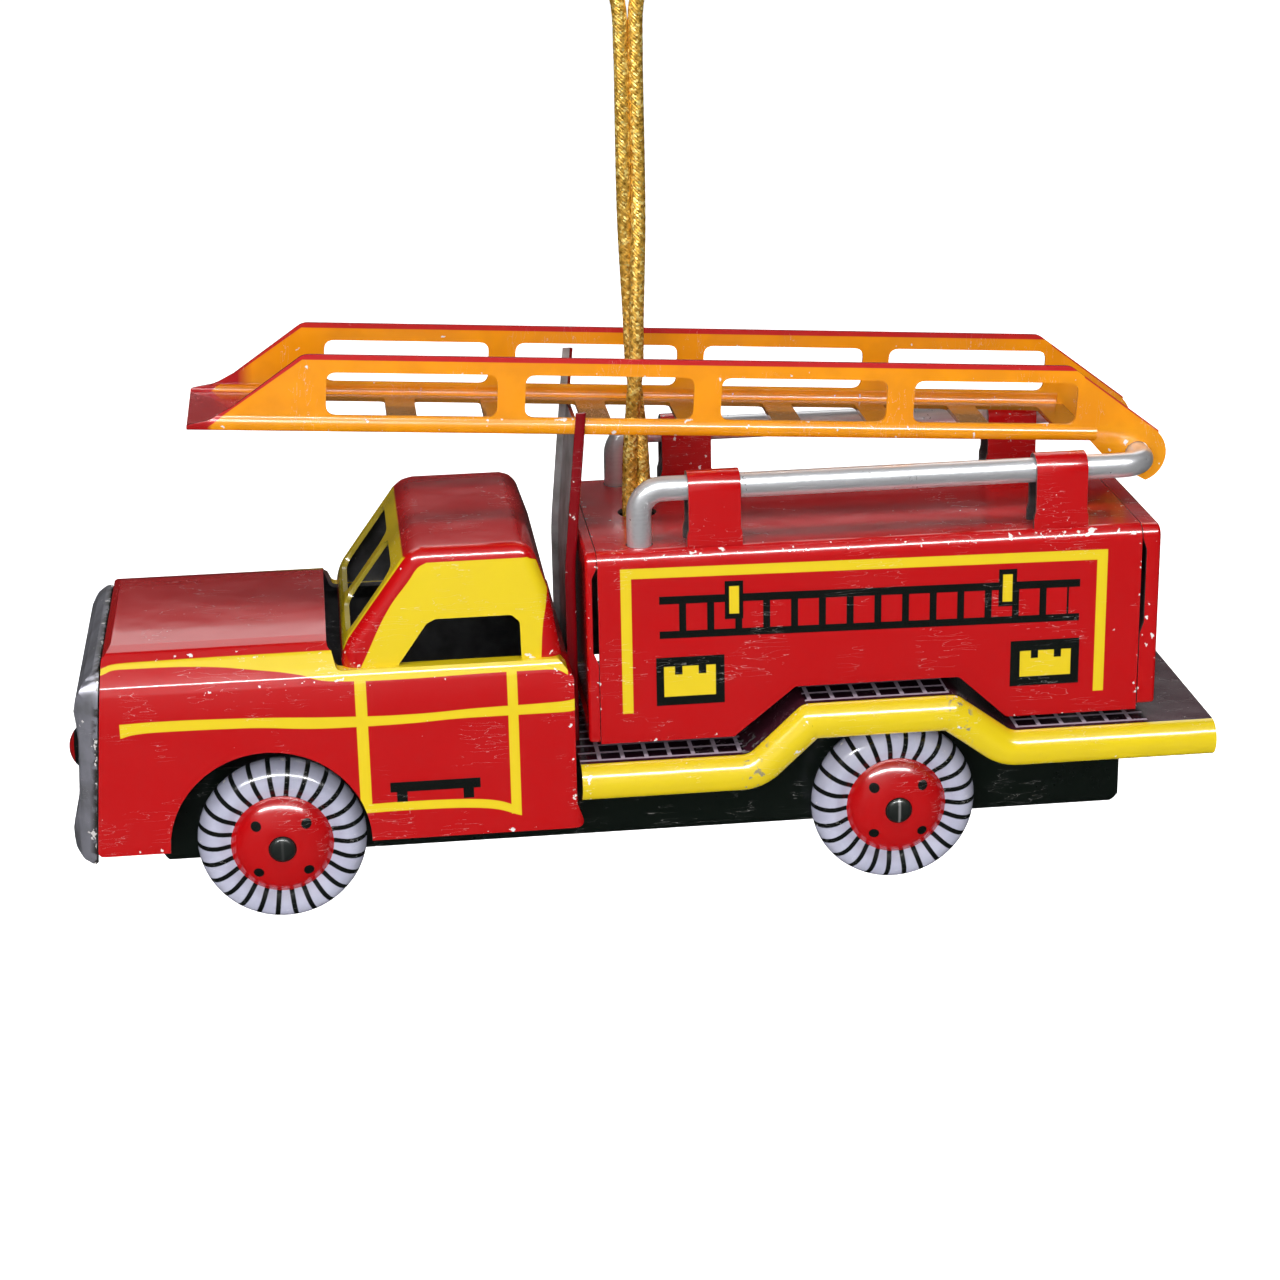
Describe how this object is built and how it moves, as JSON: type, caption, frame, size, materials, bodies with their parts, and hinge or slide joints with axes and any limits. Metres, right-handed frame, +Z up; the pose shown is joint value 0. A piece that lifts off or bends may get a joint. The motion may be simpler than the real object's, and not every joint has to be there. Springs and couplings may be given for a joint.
{
  "type": "tin toy ladder truck ornament",
  "caption": "Small lithographed tin ladder truck hung on a doubled metallic cord, with turning wheel sets and a ladder that lifts on a wire rail.",
  "frame": {"origin": "inside of the top of the cord loop, where a hook carries the ornament", "axes": "+X towards the back of the truck, +Y towards its right side, +Z up"},
  "size_m": [0.0926, 0.0264, 0.0831],
  "materials": {
    "litho_red": "gloss",
    "bare_tin": "satin",
    "litho_black": "gloss",
    "litho_maroon": "gloss",
    "litho_orange": "gloss",
    "litho_white": "gloss",
    "steel_wire": "satin",
    "axle_steel": "satin",
    "gold_cord": "metallic thread"
  },
  "bodies": {
    "truck": {"body_shell": "litho_red", "grille_front": "bare_tin", "cab_top": "litho_red", "chassis_pan": "litho_black", "running_board": "litho_maroon", "box_shell": "litho_red", "box_front_cap": "litho_red", "box_rear_cap": "litho_red", "ladder_support": "litho_red", "rail_rod": "steel_wire", "strap_front_left": "litho_red", "strap_front_right": "litho_red", "strap_rear_left": "litho_red", "strap_rear_right": "litho_red", "hanging_cord": "gold_cord", "cord_knot": "gold_cord"},
    "front_wheelset": {"front_axle": "axle_steel", "front_left_wheel_face": "litho_white", "front_left_wheel_back": "litho_white", "front_right_wheel_face": "litho_white", "front_right_wheel_back": "litho_white"},
    "rear_wheelset": {"rear_axle": "axle_steel", "rear_left_wheel_face": "litho_white", "rear_left_wheel_back": "litho_white", "rear_right_wheel_face": "litho_white", "rear_right_wheel_back": "litho_white"},
    "ladder": {"ladder": "litho_orange"}
  },
  "joints": [
    {"name": "front_wheels_spin", "type": "hinge", "parent": "truck", "child": "front_wheelset", "pos_m": [-0.0303, 0, -0.0752], "axis": [0, 1, 0], "continuous": true},
    {"name": "rear_wheels_spin", "type": "hinge", "parent": "truck", "child": "rear_wheelset", "pos_m": [0.0197, 0, -0.0752], "axis": [0, 1, 0], "continuous": true},
    {"name": "ladder_raise", "type": "hinge", "parent": "truck", "child": "ladder", "pos_m": [0.0404, 0, -0.0479], "axis": [0, 1, 0], "range_deg": [0, 10]}
  ]
}
